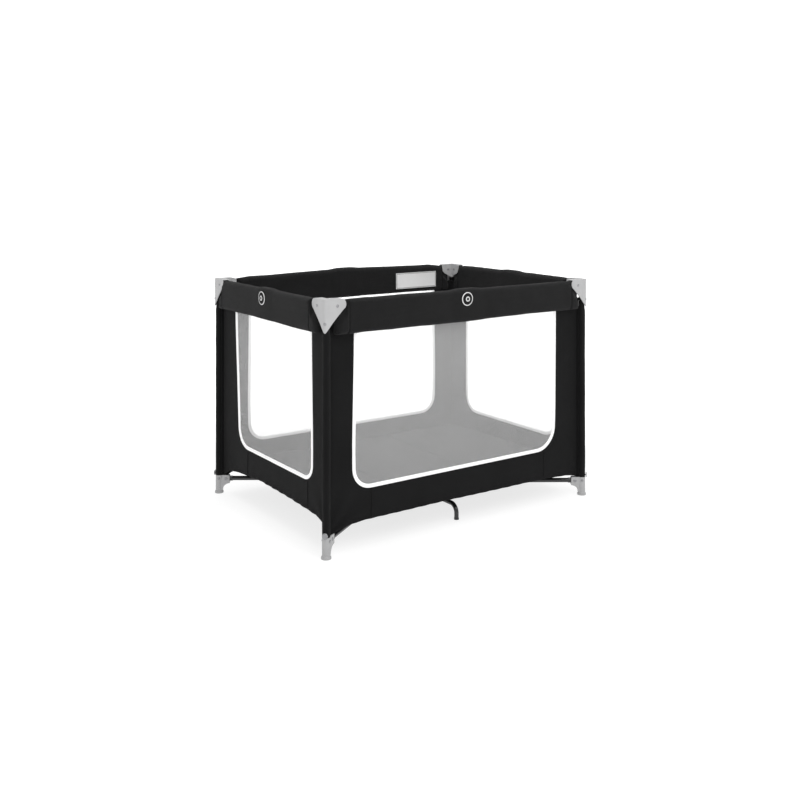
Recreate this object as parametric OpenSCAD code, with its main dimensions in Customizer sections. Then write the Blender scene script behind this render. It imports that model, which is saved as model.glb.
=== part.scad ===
// Folding travel play yard: four posts, four folding top rails with centre latches,
// a lift-to-fold floor hub with four arms and two centre legs, fabric walls with mesh
// windows, padded rail covers, a floor sheet and a three-panel mattress.
// Frame: origin on the ground at the centre of the footprint, +X along the long side,
// -Y towards the front, +Z up. Millimetres.

/* [Overall] */
// Distance between post axes along the long side
post_dx = 992; // [900:4:1100]
// Distance between post axes along the short side
post_dy = 712; // [650:4:800]
// Height of the top of the corner caps
height = 724; // [690:2:760]

/* [Tubes] */
// Outside diameter of a corner post tube
post_od = 19; // [18:0.5:19]
// Height of the flat-oval top rail tube
rail_h = 24; // [20:1:24]
// Thickness of the flat-oval top rail tube
rail_t = 14; // [12:1:14]
// Outside diameter of a floor arm
arm_od = 14.5; // [14:0.5:14.5]
// Outside diameter of a centre leg
leg_od = 14; // [12:0.5:14]
// Wall thickness of the post, top rail and floor arm tubes
tube_wall = 1.2; // [1:0.1:1.5]

/* [Corner caps] */
// Distance from the post axis to the outer face of a cap
cap_face = 13; // [12.5:0.5:14]
// Reach of a cap wing along a rail, from the post axis
cap_reach = 58; // [58:1:64]
// Thickness of the cap shell
cap_wall = 2.5; // [2:0.25:2.5]

/* [Fold geometry] */
// Distance from a post axis to its rail pivot
rail_pivot = 29; // [29:1:31]
// Distance from a latch centre to each of its rail pins
latch_pin = 29; // [29:1:31]
// Height of the rail pivots
rail_z = 704; // [680:1:706]
// Distance from a post axis to its floor arm pivot
foot_pivot = 24; // [24:0.5:25]
// Height of the floor arm pivots
arm_z = 48; // [48:0.5:50]
// Height of the centre leg pivots
leg_z = 44.5; // [40:0.5:45]
// Distance from the hub centre to each centre leg pivot
leg_pivot = 50; // [48:1:52]
// Distance from the hub centre to the tip of a centre leg
leg_reach = 310; // [280:5:320]

/* [Fabric] */
// Thickness of the wall fabric
wall_t = 2; // [1.5:0.5:2]
// Distance from a post axis to the middle of a wall, inwards
wall_inset = 12; // [12:0.5:13]
// Height of the lower edge of the walls
hem_z = 74; // [66:1:90]
// Height of the lower edge of the padded rail covers
cover_low = 630; // [620:2:640]
// Thickness of a padded rail cover, outside to inside
cover_t = 40; // [40:1:42]
// Distance from a post axis to the side of a long-side window
window_side = 97; // [90:1:110]
// Distance from a post axis to the side of a short-side window
window_side_end = 106; // [95:1:115]
// Height of the bottom of a long-side window
window_low = 165; // [150:1:180]
// Height of the bottom of a short-side window
window_low_end = 184; // [165:1:190]
// Corner radius of the windows
window_r = 66; // [40:1:80]

/* [Mattress] */
// Thickness of the mattress
mattress_t = 20; // [16:1:24]
// Gap between the mattress and the post axes
mattress_gap = 20; // [20:1:26]

/* [Hidden] */
half_x = post_dx / 2;
half_y = post_dy / 2;
pivot_trim = rail_pivot + latch_pin;      // half side length less rail half length
rail_len_x = half_x - pivot_trim;         // rail half along X, pivot to pivot
rail_len_y = half_y - pivot_trim;         // rail half along Y, pivot to pivot
arm_angle = atan(rail_len_y / rail_len_x);  // from the X axis, every arm
arm_len = sqrt(rail_len_x * rail_len_x + rail_len_y * rail_len_y);  // pivot to pivot
foot_x = foot_pivot * cos(arm_angle);     // arm pivot, from the post axis
foot_y = foot_pivot * sin(arm_angle);
hub_x = pivot_trim - foot_x;              // arm pivot, from the hub centre
hub_y = pivot_trim - foot_y;
pin_r = 3;
bore_r = 3.05;
rivet_r = 2.5;
rivet_bore_r = 2.55;
cap_rivet_z = 656;
foot_rivet_z = 50;
stud_z = 67;
floor_z = 80;
mat_z = floor_z + 4;
cut = 20;                                 // reach of a bore cutter past a part's axis
overlap = 0.01;
pin_color = [0.55, 0.55, 0.56];
fabric_color = [0.13, 0.13, 0.13];
$fn = 48;

corners = ["fl", "fr", "rl", "rr"];       // front or rear, then left or right
sides = ["front", "rear", "left", "right"];

// ---------- placing ----------
// Children are drawn for the front-left corner, post axis at the origin, inwards = +X and +Y.
module at_corner(c) {
  way_x = (c == "fl" || c == "rl") ? -1 : 1;
  way_y = (c == "fl" || c == "fr") ? -1 : 1;
  translate([way_x * half_x, way_y * half_y, 0])
    mirror([way_x > 0 ? 1 : 0, 0, 0])
    mirror([0, way_y > 0 ? 1 : 0, 0]) children();
}
// Children are drawn with the middle of the side at the origin, the side along X
// and outwards = -Y.
module at_side(s, inset = 0, z = 0) {
  x = half_x - inset;
  y = half_y - inset;
  if (s == "front") translate([0, -y, z]) children();
  if (s == "rear") translate([0, y, z]) mirror([0, 1, 0]) children();
  if (s == "left") translate([-x, 0, z]) rotate([0, 0, -90]) children();
  if (s == "right") translate([x, 0, z]) rotate([0, 0, 90]) children();
}
function is_long(s) = s == "front" || s == "rear";
function half_side(s) = is_long(s) ? half_x : half_y;

// Along the diagonal of a corner: local +X points inwards.
module on_diagonal(z) rotate([0, 0, 45]) translate([0, 0, z]) children();
// Children, and their copy on the other wing of a corner (X and Y swapped).
module on_both_wings() {
  children();
  mirror([1, -1, 0]) children();
}
// Children, and their mirror image at the far end of a bar that runs along +X.
module on_both_ends(len) {
  children();
  translate([len, 0, 0]) mirror([1, 0, 0]) children();
}

// ---------- shared shapes ----------
module along_y(r, y0, y1) translate([0, y0, 0]) rotate([-90, 0, 0]) cylinder(r = r, h = y1 - y0);
module along_x(r, x0, x1) translate([x0, 0, 0]) rotate([0, 90, 0]) cylinder(r = r, h = x1 - x0);
// Rivet head standing on the plane y, pointing to +Y (way = 1) or -Y (way = -1).
module head(y, way, base_r, top_r, h)
  translate([0, y, 0]) rotate([-90 * way, 0, 0]) cylinder(r1 = base_r, r2 = top_r, h = h);
// Pin with its shank along Y from y0 to y1 and a low head outside each end.
module headed(r, y0, y1, head_r = 4.6, head_h = 1.4) {
  head_taper = 0.62;                      // top radius over base radius
  union() {
    along_y(r, y0 - 0.5, y1 + 0.5);
    head(y0, -1, head_r, head_r * head_taper, head_h);
    head(y1, 1, head_r, head_r * head_taper, head_h);
  }
}
// Flat shape drawn in X and Z, given its thickness evenly about y = 0.
module upright(thick)
  translate([0, thick / 2, 0]) rotate([90, 0, 0]) linear_extrude(height = thick) children();
// Flat end of a bar: rounded about the pivot at the origin, running to x = len.
module tab_end(r, thick, len) union() {
  along_y(r, -thick / 2, thick / 2);
  translate([0, -thick / 2, -r]) cube([len, thick, 2 * r]);
}

// ---------- posts ----------
post_base_z = 12;                         // floor of the foot socket

module post_tube() color([0.12, 0.12, 0.13]) difference() {
  translate([0, 0, post_base_z]) cylinder(r = post_od / 2, h = height - 16 - post_base_z);
  translate([0, 0, post_base_z - 1]) cylinder(r = post_od / 2 - tube_wall, h = height);
  rotate([0, 0, arm_angle]) translate([0, 0, foot_rivet_z]) along_y(rivet_bore_r, -cut, cut);
  on_diagonal(cap_rivet_z) along_x(rivet_bore_r, -cut, cut);
  on_diagonal(stud_z) along_x(rivet_bore_r, -cut, 0);
}

// ---------- corner caps ----------
cap_corner_r = 8;                         // outer vertical edge
cap_corner_out = cap_face * sqrt(2) - 3.3;  // post axis to that edge, on the diagonal
inner_face = 10.5;                        // post axis to the outer face of the inner plates
inner_len = 50;
inner_block = [11, 11, 26];

// Side outline of a cap wing, [along the rail, height]: a rounded triangle that
// narrows to a tip at the corner.
module wing_outline() {
  reach = cap_reach;
  top = height;
  polygon([
    [-20, top + 1], [reach - 16, top + 1], [reach - 13, top], [reach - 8, top - 1.5],
    [reach - 4, top - 5], [reach - 1, top - 10], [reach, top - 16], [reach - 0.6, top - 21],
    [reach - 3, top - 26], [reach - 9.5, top - 31], [reach - 27, top - 48.5],
    [reach - 43.5, top - 66], [reach - 57, top - 82], [-9.5, top - 94], [-20, top - 95]]);
}
// Side outline of an inner plate, [along the rail, height].
module inner_outline() {
  top = height - cap_wall - 0.3;
  polygon([
    [0, height - 56], [12, height - 51], [46, height - 34], [54, height - 26],
    [57, height - 14], [57, top], [0, top]]);
}
// What lies inside the child outline seen along Y and also seen along X.
module inside_both_views() intersection() {
  translate([0, 100, 0]) rotate([90, 0, 0]) linear_extrude(height = 140) children();
  translate([-40, 0, 0]) rotate([90, 0, 90]) linear_extrude(height = 140) children();
}

module cap_outer() {
  edge = -cap_face + cap_corner_r;        // centre of the rounded corner, in X and Y
  wing = cap_reach + cap_face - cap_corner_r;
  color([0.74, 0.74, 0.74]) difference() {
    intersection() {
      union() {
        // corner shell, cut off well below the wings
        difference() {
          linear_extrude(height = height) union() {
            translate([edge, -cap_face]) square([wing, cap_wall]);
            translate([-cap_face, edge]) square([cap_wall, wing]);
            intersection() {
              translate([edge, edge]) difference() {
                circle(r = cap_corner_r);
                circle(r = cap_corner_r - cap_wall);
              }
              translate([-cap_face - 1, -cap_face - 1])
                square([cap_corner_r + 1 + overlap, cap_corner_r + 1 + overlap]);
            }
          }
          translate([-50, -50, -1]) cube([200, 200, 560]);
        }
        // roof
        translate([0, 0, height - cap_wall]) linear_extrude(height = cap_wall) union() {
          translate([edge, -cap_face]) square([wing, 2 * cap_face]);
          translate([-cap_face, edge]) square([2 * cap_face, wing]);
          translate([edge, edge]) circle(r = cap_corner_r);
        }
      }
      inside_both_views() wing_outline();
    }
    on_both_wings() translate([rail_pivot, 0, rail_z]) along_y(bore_r, -cut, 0);
    on_diagonal(cap_rivet_z) along_x(rivet_bore_r, -cut, 0);
  }
}

module cap_inner() color([0.70, 0.70, 0.70]) difference() {
  union() {
    intersection() {
      linear_extrude(height = height) union() {
        translate([inner_face, inner_face]) square([inner_len, cap_wall]);
        translate([inner_face, inner_face]) square([cap_wall, inner_len]);
      }
      inside_both_views() inner_outline();
    }
    // block between the plates and the post
    translate([1, 1, 672]) cube(inner_block);
  }
  translate([0, 0, 600]) cylinder(r = post_od / 2 + 0.1, h = 120);
  on_both_wings() translate([rail_pivot, 0, rail_z]) along_y(bore_r, 0, cut);
}

// ---------- feet ----------
foot_r = 11.8;
foot_base_r = 14.5;
foot_h = 60;
jaw_low = 8;                              // underside of the jaw that holds the arm
jaw_reach = 36;
jaw_half = 8.6;                           // half width
jaw_slot = 10.8;
jaw_edge_r = 4;

module foot() color([0.68, 0.68, 0.68]) rotate([0, 0, arm_angle]) difference() {
  union() {
    cylinder(r = foot_base_r, h = 5);
    translate([0, 0, 5]) cylinder(r1 = foot_base_r, r2 = foot_r, h = 4);
    cylinder(r = foot_r, h = foot_h);
    difference() {
      translate([0, -jaw_half, jaw_low]) cube([jaw_reach, 2 * jaw_half, foot_h - jaw_low]);
      // hollow curve under the jaw
      translate([37, 0, jaw_low]) along_y(25, -cut, cut);
      translate([12.4, -jaw_slot / 2, 39.6]) cube([40, jaw_slot, 40]);
      // rounded upper edge at the tip
      translate([jaw_reach - jaw_edge_r, -cut, foot_h - jaw_edge_r]) difference() {
        cube([10, 2 * cut, 10]);
        along_y(jaw_edge_r, -1, 2 * cut + 1);
      }
    }
  }
  translate([0, 0, post_base_z]) cylinder(r = post_od / 2 + 0.05, h = 60);
  translate([0, 0, foot_rivet_z]) along_y(rivet_bore_r, -cut, cut);
  translate([foot_pivot, 0, arm_z]) along_y(bore_r, -cut, cut);
}

// ---------- corner rivets ----------
stud_r = 8.6;
stud_y = 13.5;                            // post axis to the underside of the stud head

module rivets() color([0.62, 0.62, 0.63]) {
  // rail pivots
  on_both_wings()
    translate([rail_pivot, 0, rail_z]) headed(pin_r, -cap_face, inner_face + cap_wall);
  // cap to post: local +Y points outwards along the diagonal
  on_diagonal(cap_rivet_z) rotate([0, 0, 90]) union() {
    along_y(rivet_r, -post_od / 2 - 0.5, cap_corner_out + 0.05);
    head(cap_corner_out, 1, 4.6, 2.8, 1.4);
    head(-post_od / 2, -1, 4.2, 2.8, 1.2);
  }
  // foot to post, and arm pivot
  rotate([0, 0, arm_angle]) {
    translate([0, 0, foot_rivet_z]) headed(rivet_r, -foot_r, foot_r, 4.2);
    translate([foot_pivot, 0, arm_z]) headed(pin_r, -jaw_half, jaw_half, 5.4);
  }
  // large-headed stud that holds the fabric corner
  on_diagonal(stud_z) rotate([0, 0, 90]) union() {
    along_y(rivet_r, post_od / 2 - 3, stud_y + 0.5);
    along_y(stud_r, stud_y, stud_y + 2);
    head(stud_y + 2, 1, stud_r, 6.4, 1.4);
  }
}

// ---------- floor arms ----------
// Arm along +X from the foot pivot at the origin to the hub pivot.
module arm_bar() difference() {
  union() {
    on_both_ends(arm_len) tab_end(arm_od / 2, 10, 22);
    difference() {
      along_x(arm_od / 2, 18, arm_len - 18);
      along_x(arm_od / 2 - tube_wall, 22, arm_len - 22);
    }
  }
  on_both_ends(arm_len) along_y(bore_r, -cut, cut);
}
module arm() color([0.07, 0.07, 0.075])
  translate([foot_x, foot_y, arm_z]) rotate([0, 0, arm_angle]) arm_bar();

// ---------- hub ----------
hub_r = 64;
hub_plate_z = 57.5;
hub_plate_t = 3;
hub_top = floor_z - 2.4;                  // top of the hub cover
hub_cover_z = hub_plate_z + hub_plate_t + 0.1;
hub_cover_r = 60;
hub_bevel = 4;                            // height of the sloping rim of the cover
arm_ear_y = 7;                            // arm axis to the middle of an ear
arm_ear_t = 3.2;
leg_ear_y = 6.6;
leg_ear_t = 2.8;
screw_x = 16;
screw_bore_r = 2.05;
strap_x = 34;                             // hub centre to each strap slot
strap_w = 25;
strap_t = 1.5;

// Children drawn at the origin with the bar along X, placed at each pivot of the hub.
module at_arm_pivots() for (i = [0, 1], j = [0, 1])
  mirror([i, 0, 0]) mirror([0, j, 0])
  translate([-hub_x, -hub_y, 0]) rotate([0, 0, arm_angle]) children();
module at_leg_pivots() for (j = [0, 1])
  mirror([0, j, 0]) translate([0, -leg_pivot, 0]) rotate([0, 0, 90]) children();

// Two ears hanging from the hub plate, either side of a pivot.
module ear_pair(y, thick, r, pivot_z) for (s = [-1, 1])
  translate([0, s * y, 0]) upright(thick) union() {
    translate([0, pivot_z]) circle(r = r);
    translate([-r, pivot_z]) square([2 * r, hub_plate_z + 0.3 - pivot_z]);
  }

module hub_body() {
  rim_block_z = leg_z + leg_od / 2 + 0.6; // just clear of the leg below it
  color([0.10, 0.10, 0.105]) difference() {
    union() {
      translate([0, 0, hub_plate_z]) cylinder(r = hub_r, h = hub_plate_t);
      translate([0, 0, 40]) difference() {
        cylinder(r = 24, h = 18);
        translate([0, 0, -1]) cylinder(r = 20, h = 19);
      }
      at_arm_pivots() ear_pair(arm_ear_y, arm_ear_t, 9, arm_z);
      at_leg_pivots() ear_pair(leg_ear_y, leg_ear_t, 7.5, leg_z);
      for (j = [0, 1]) mirror([0, j, 0])
        translate([-9, -hub_r, rim_block_z]) cube([18, 4, hub_plate_z + 0.1 - rim_block_z]);
    }
    at_arm_pivots() translate([0, 0, arm_z]) along_y(bore_r, -9.5, 9.5);
    at_leg_pivots() translate([0, 0, leg_z]) along_y(bore_r, -12, 12);
    for (i = [-1, 1]) translate([i * screw_x, 0, 50]) cylinder(r = screw_bore_r, h = 20);
  }
}

module hub_cover() {
  bevel_z = hub_top - hub_bevel;
  hollow_z = 60;
  color([0.12, 0.12, 0.125]) difference() {
    union() {
      translate([0, 0, hub_cover_z]) cylinder(r = hub_cover_r, h = bevel_z - hub_cover_z);
      translate([0, 0, bevel_z]) cylinder(r1 = hub_cover_r, r2 = 53, h = hub_bevel);
    }
    // hollow underside, leaving two screw bosses and six radial ribs
    translate([0, 0, hollow_z]) difference() {
      cylinder(r = hub_cover_r - 3, h = bevel_z - hollow_z);
      for (i = [-1, 1]) translate([i * screw_x, 0, -1]) cylinder(r = 6, h = 30);
      for (a = [30 : 60 : 330]) rotate([0, 0, a]) translate([26, -1.5, -1]) cube([40, 3, 30]);
    }
    // strap slots
    for (i = [-1, 1]) translate([i * strap_x - 2, -14, hub_top - 6]) cube([4, 28, 8]);
    for (i = [-1, 1]) translate([i * screw_x, 0, 50]) cylinder(r = screw_bore_r, h = 40);
  }
}

module hub_pins() {
  arm_pin = arm_ear_y + arm_ear_t / 2;    // to the outer faces of the ears
  leg_pin = leg_ear_y + leg_ear_t / 2;
  screw_z = 56;
  color(pin_color) {
    at_arm_pivots() translate([0, 0, arm_z]) headed(pin_r, -arm_pin, arm_pin, 4.6, 1.2);
    at_leg_pivots() translate([0, 0, leg_z]) headed(pin_r, -leg_pin, leg_pin, 4.6, 1.2);
    for (i = [-1, 1]) translate([i * screw_x, 0, 0]) union() {
      translate([0, 0, screw_z]) cylinder(r = 2, h = hub_top - screw_z);
      translate([0, 0, hub_top]) cylinder(r1 = 4.2, r2 = 3, h = 1);
      translate([0, 0, screw_z]) cylinder(r = 4, h = 1.4);
    }
  }
}

// Webbing pull loop: it runs up through the floor sheet and lies under the mattress.
module lift_strap() color([0.09, 0.09, 0.09]) union() {
  for (i = [-1, 1]) translate([i * strap_x - strap_t / 2, -strap_w / 2, hub_top - 0.8])
    cube([strap_t, strap_w, 6]);
  translate([-strap_x - strap_t / 2, -strap_w / 2, hub_top + 4.8])
    cube([2 * strap_x + strap_t, strap_w, 1.3]);
  // ends turned inwards on top of the hub cover
  for (i = [-1, 1])
    translate([i * strap_x - (i > 0 ? 8 : strap_t / 2), -strap_w / 2, hub_top + 0.2])
      cube([8 + strap_t / 2, strap_w, 0.9]);
}

// ---------- centre legs ----------
leg_len = leg_reach - leg_pivot;          // pivot to tip
bend_r = 26;

// Bar along -Y from its pivot at the origin, then a quarter bend down towards the ground.
module leg_bar() {
  r = leg_od / 2;
  run = leg_len - bend_r;
  translate([0, -run, 0]) along_y(r, 0, run - 8);
  translate([0, -run, -bend_r]) rotate([90, 0, 0]) rotate([0, -90, 0])
    rotate_extrude(angle = 90) translate([bend_r, 0]) circle(r = r);
  translate([0, -leg_len, -leg_z + 2]) cylinder(r = r, h = leg_z - bend_r - 2 + overlap);
}
module leg() color([0.06, 0.06, 0.065]) translate([0, -leg_pivot, leg_z]) {
  difference() {
    union() {
      leg_bar();
      rotate([0, 0, -90]) tab_end(leg_od / 2, 9.6, 14);
    }
    along_x(bore_r, -12, 12);
  }
  // end plug
  translate([0, -leg_len, -leg_z]) cylinder(r = leg_od / 2 + 0.8, h = 4.8);
}

// ---------- top rails ----------
function rail_len(s) = is_long(s) ? rail_len_x : rail_len_y;

module oval(h, thick) union() {
  square([h - thick, thick], center = true);
  for (i = [-1, 1]) translate([i * (h - thick) / 2, 0]) circle(r = thick / 2);
}
// Rail half along +X between pivots at 0 and len.
module rail_half(len) difference() {
  union() {
    translate([16, 0, 0]) rotate([0, 90, 0]) linear_extrude(height = len - 32) difference() {
      oval(rail_h, rail_t);
      oval(rail_h - 2 * tube_wall, rail_t - 2 * tube_wall);
    }
    on_both_ends(len) tab_end(rail_h / 2, rail_t - 2, 20);
  }
  on_both_ends(len) along_y(bore_r, -cut, cut);
}
// Half on the side's local -X (way = -1) or +X (way = 1) side of the latch.
module rail(s, way) color([0.16, 0.16, 0.17])
  at_side(s, z = rail_z) mirror([way > 0 ? 1 : 0, 0, 0])
  translate([-rail_len(s) - latch_pin, 0, 0]) rail_half(rail_len(s));

// ---------- latches ----------
plate_t = 2.4;
plate_in = rail_t / 2 + 0.4;              // rail axis to the inner face of a plate
plate_out = plate_in + plate_t;
plate_half = 40;                          // half length without the round ends
plate_end_r = 14;
latch_low = -16;                          // underside, from the rail axis

module latch_housing() difference() {
  union() {
    for (s = [-1, 1]) translate([-plate_half, s > 0 ? plate_in : -plate_out, latch_low])
      cube([2 * plate_half, plate_t, 2 * plate_end_r]);
    for (s = [-1, 1], i = [-1, 1])
      translate([i * plate_half, 0, latch_low + plate_end_r])
        along_y(plate_end_r, s > 0 ? plate_in : -plate_out, s > 0 ? plate_out : -plate_in);
    translate([-plate_half, -plate_out, latch_low]) cube([2 * plate_half, 2 * plate_out, 2.5]);
    // centre block
    translate([-14, -plate_in - 0.2, -14]) cube([28, 2 * plate_in + 0.4, 24]);
  }
  for (i = [-1, 1]) translate([i * latch_pin, 0, 0]) along_y(bore_r, -cut, cut);
  // button bore and recess
  along_y(6.08, -12, 7);
  along_y(11, -14, -plate_in + 0.6);
  // flat underside
  translate([-60, -20, latch_low - 24]) cube([120, 40, 24]);
}
module latch() {
  color([0.13, 0.13, 0.135]) latch_housing();
  color(pin_color) for (i = [-1, 1])
    translate([i * latch_pin, 0, 0]) headed(pin_r, -plate_out, plate_out, 4.4, 1);
}
module button() color([0.14, 0.14, 0.145]) union() {
  along_y(10.5, -16.2, -plate_in - 3.6);
  along_y(6, -plate_in - 4, 3);
}

// ---------- fabric ----------
wall_top = cover_low - 1;
mesh_t = 1;
mesh_gap = 0.4;                           // mesh edge to window edge
cover_h = height - 4 - cover_low;
cover_r = 8;
cover_wall = 2.6;
cover_roof = 3.7;

function wall_half(s) = half_side(s) - wall_inset - 2;
function window_half(s) = half_side(s) - (is_long(s) ? window_side : window_side_end);

// Window with rounded lower corners, open upwards, shrunk by margin.
module window_shape(s, margin = 0) {
  half = window_half(s) - margin;
  low = (is_long(s) ? window_low : window_low_end) + margin;
  r = window_r - margin;
  union() {
    translate([-half + r, low]) square([2 * (half - r), height - low]);
    translate([-half, low + r]) square([2 * half, height - low - r]);
    for (i = [-1, 1]) translate([i * (half - r), low + r]) circle(r = r);
  }
}
module wall(s) color(fabric_color) at_side(s, wall_inset) upright(wall_t) difference() {
  translate([-wall_half(s), hem_z]) square([2 * wall_half(s), wall_top - hem_z]);
  window_shape(s);
}
module mesh(on_sides) color([0.85, 0.85, 0.85]) for (s = on_sides)
  at_side(s, wall_inset) upright(mesh_t) intersection() {
    window_shape(s, mesh_gap);
    translate([-window_half(s), 0]) square([2 * window_half(s), wall_top]);
  }

// Padded cover: a closed tube round the rail and its latch, its underside at z = 0.
module cover_tube(half) difference() {
  translate([-half, 0, 0]) rotate([90, 0, 90]) linear_extrude(height = 2 * half) union() {
    translate([-cover_t / 2, cover_r]) square([cover_t, cover_h - 2 * cover_r]);
    translate([-cover_t / 2 + cover_r, 0]) square([cover_t - 2 * cover_r, cover_h]);
    for (i = [-1, 1], z = [cover_r, cover_h - cover_r])
      translate([i * (cover_t / 2 - cover_r), z]) circle(r = cover_r);
  }
  translate([-half - 1, -cover_t / 2 + cover_wall, cover_wall])
    cube([2 * half + 2, cover_t - 2 * cover_wall, cover_h - cover_wall - cover_roof]);
}
module cover(on_sides) color(fabric_color) for (s = on_sides)
  at_side(s, z = cover_low) cover_tube(half_side(s) - cap_reach - 4);

module floor_sheet() {
  x = wall_half("front") - 1;
  y = wall_half("left") - 1;
  color([0.08, 0.08, 0.08]) difference() {
    translate([-x, -y, floor_z]) cube([2 * x, 2 * y, 2]);
    // strap slots
    for (i = [-1, 1]) translate([i * strap_x - 3, -16, floor_z - 10]) cube([6, 32, 20]);
  }
}

// ---------- mattress ----------
mid_half = 159;                           // half width of the middle panel
panel_gap = 1;
mattress_x = half_x - mattress_gap;
mattress_y = half_y - mattress_gap;

module mattress_panel(x0, x1) color([0.10, 0.10, 0.10])
  translate([x0, -mattress_y, mat_z]) cube([x1 - x0, 2 * mattress_y, mattress_t]);

// ---------- nodes ----------
for (c = corners) {
  at_corner(c) post_tube();
  at_corner(c) cap_outer();
  at_corner(c) cap_inner();
  at_corner(c) foot();
  at_corner(c) rivets();
  at_corner(c) arm();
}
hub_body();
hub_cover();
hub_pins();
lift_strap();
leg();  // leg_front
mirror([0, 1, 0]) leg();  // leg_rear
rail("front", -1);  // rail_front_l
rail("front", 1);  // rail_front_r
rail("rear", -1);  // rail_rear_l
rail("rear", 1);  // rail_rear_r
rail("left", 1);  // rail_left_f
rail("left", -1);  // rail_left_r
rail("right", -1);  // rail_right_f
rail("right", 1);  // rail_right_r
for (s = sides) {
  at_side(s, z = rail_z) latch();
  at_side(s, z = rail_z) button();
  wall(s);
}
mesh(["front", "left"]);  // mesh_front_left
mesh(["rear"]);  // mesh_rear
mesh(["right"]);  // mesh_right
cover(["front", "left"]);  // cover_front_left
cover(["rear"]);  // cover_rear
cover(["right"]);  // cover_right
floor_sheet();
mattress_panel(-mid_half, mid_half);  // mattress_mid
mattress_panel(-mattress_x, -mid_half - panel_gap);  // mattress_left
mattress_panel(mid_half + panel_gap, mattress_x);  // mattress_right
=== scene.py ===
import math

import bpy
import bmesh
import numpy as np
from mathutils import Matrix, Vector


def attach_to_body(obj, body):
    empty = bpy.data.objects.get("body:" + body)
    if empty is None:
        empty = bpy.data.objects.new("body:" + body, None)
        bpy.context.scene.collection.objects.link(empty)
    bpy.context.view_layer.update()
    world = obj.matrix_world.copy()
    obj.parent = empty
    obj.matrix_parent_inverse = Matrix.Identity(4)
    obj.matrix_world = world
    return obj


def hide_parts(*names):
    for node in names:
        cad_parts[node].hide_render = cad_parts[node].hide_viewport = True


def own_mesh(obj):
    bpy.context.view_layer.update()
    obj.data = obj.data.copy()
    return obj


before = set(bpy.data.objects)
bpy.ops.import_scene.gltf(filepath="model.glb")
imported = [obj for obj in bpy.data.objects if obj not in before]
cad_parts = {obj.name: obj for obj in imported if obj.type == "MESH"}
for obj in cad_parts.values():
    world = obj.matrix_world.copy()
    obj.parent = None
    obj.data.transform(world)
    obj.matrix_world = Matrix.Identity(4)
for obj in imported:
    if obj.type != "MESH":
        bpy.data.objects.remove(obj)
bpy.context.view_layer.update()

# ---------------------------------------------------------------- main sizes (metres)
POST_X, POST_Y = 0.496, 0.356     # post axes, from the middle
WINDOW_TOP = 0.660                # walls and nets end here, inside the rail pads
WALL_OUT = -0.0120                # middle of the wall cloth, outwards from the post axes
FOLD_Z = 0.7204                   # height the rail pads are squashed towards
CORNERS = {"fl": (-1, -1), "fr": (1, -1), "rl": (-1, 1), "rr": (1, 1)}

# Lower edge of the walls: distance from the low-end post axis, and height there.
HEM_LONG = (
    [0.0, 0.006, 0.02, 0.043, 0.09, 0.137, 0.446, 0.73, 0.839, 0.94, 0.975, 0.986, 0.992],
    [0.049, 0.052, 0.057, 0.066, 0.0755, 0.0790, 0.0800, 0.078, 0.076, 0.071, 0.063,
     0.056, 0.052])
HEM_SHORT_AT = [0.0, 0.006, 0.02, 0.038, 0.08, 0.116, 0.237, 0.435, 0.58, 0.64, 0.673,
                0.695, 0.712]
HEM_LEFT = (
    HEM_SHORT_AT,
    [0.052, 0.058, 0.071, 0.087, 0.097, 0.101, 0.106, 0.109, 0.097, 0.088, 0.078,
     0.064, 0.054])
HEM_RIGHT = (
    HEM_SHORT_AT,
    [0.052, 0.058, 0.068, 0.078, 0.084, 0.086, 0.087, 0.087, 0.085, 0.082, 0.075,
     0.064, 0.054])

# What the sides on one axis share: the axis they run along, half the distance between
# their posts, the distance of their plane from the middle, and how their walls fold.
LONG = dict(axis=(1, 0, 0), across=(0, 1, 0), half=POST_X, plane=POST_Y,
            wall_fold=("fold", (1, 0, 0), (-POST_X, 0, 0), 0.148), seams=(-0.338, 0.334))
SHORT = dict(axis=(0, 1, 0), across=(1, 0, 0), half=POST_Y, plane=POST_X,
             wall_fold=("fold", (0, 1, 0), (0, -POST_Y, 0), 0.192), seams=(-0.231, 0.159))
# out: sign of the outward direction. Pairs are for the low and high end of the side.
# low_margin, high_margin: window edge to post axis, at the (top, bottom).
# sill: window's lower edge. radii: its lower corners. mark_at: centre of the press mark.
SIDES = {
    "front": dict(LONG, out=-1, hem=HEM_LONG, sill=0.169, radii=(0.062, 0.078),
                  low_margin=(0.099, 0.092), high_margin=(0.1085, 0.1115),
                  posts=("fl", "fr"), rails=("front_l", "front_r"), cad="front_left",
                  fold_seed=3, rail_seed=1, mark_at=-0.011),
    "rear": dict(LONG, out=1, hem=HEM_LONG, sill=0.158, radii=(0.064, 0.064),
                 low_margin=(0.104, 0.100), high_margin=(0.097, 0.093),
                 posts=("rl", "rr"), rails=("rear_l", "rear_r"), cad="rear",
                 fold_seed=11, rail_seed=5, mark_at=0.0),
    "left": dict(SHORT, out=-1, hem=HEM_LEFT, sill=0.186, radii=(0.050, 0.066),
                 low_margin=(0.101, 0.093), high_margin=(0.106, 0.129),
                 posts=("fl", "rl"), rails=("left_f", "left_r"), cad="front_left",
                 fold_seed=23, rail_seed=9, mark_at=-0.004),
    "right": dict(SHORT, out=1, hem=HEM_RIGHT, sill=0.168, radii=(0.062, 0.062),
                  low_margin=(0.108, 0.104), high_margin=(0.108, 0.106),
                  posts=("fr", "rr"), rails=("right_f", "right_r"), cad="right",
                  fold_seed=31, rail_seed=13, mark_at=0.0),
}


# ---------------------------------------------------------------- shader helpers
def new_material(name):
    material = bpy.data.materials.new(name)
    material.use_nodes = True
    tree = material.node_tree
    tree.nodes.clear()
    output = tree.nodes.new("ShaderNodeOutputMaterial")
    bsdf = tree.nodes.new("ShaderNodeBsdfPrincipled")
    tree.links.new(bsdf.outputs[0], output.inputs[0])
    return material, tree, bsdf, output


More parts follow.
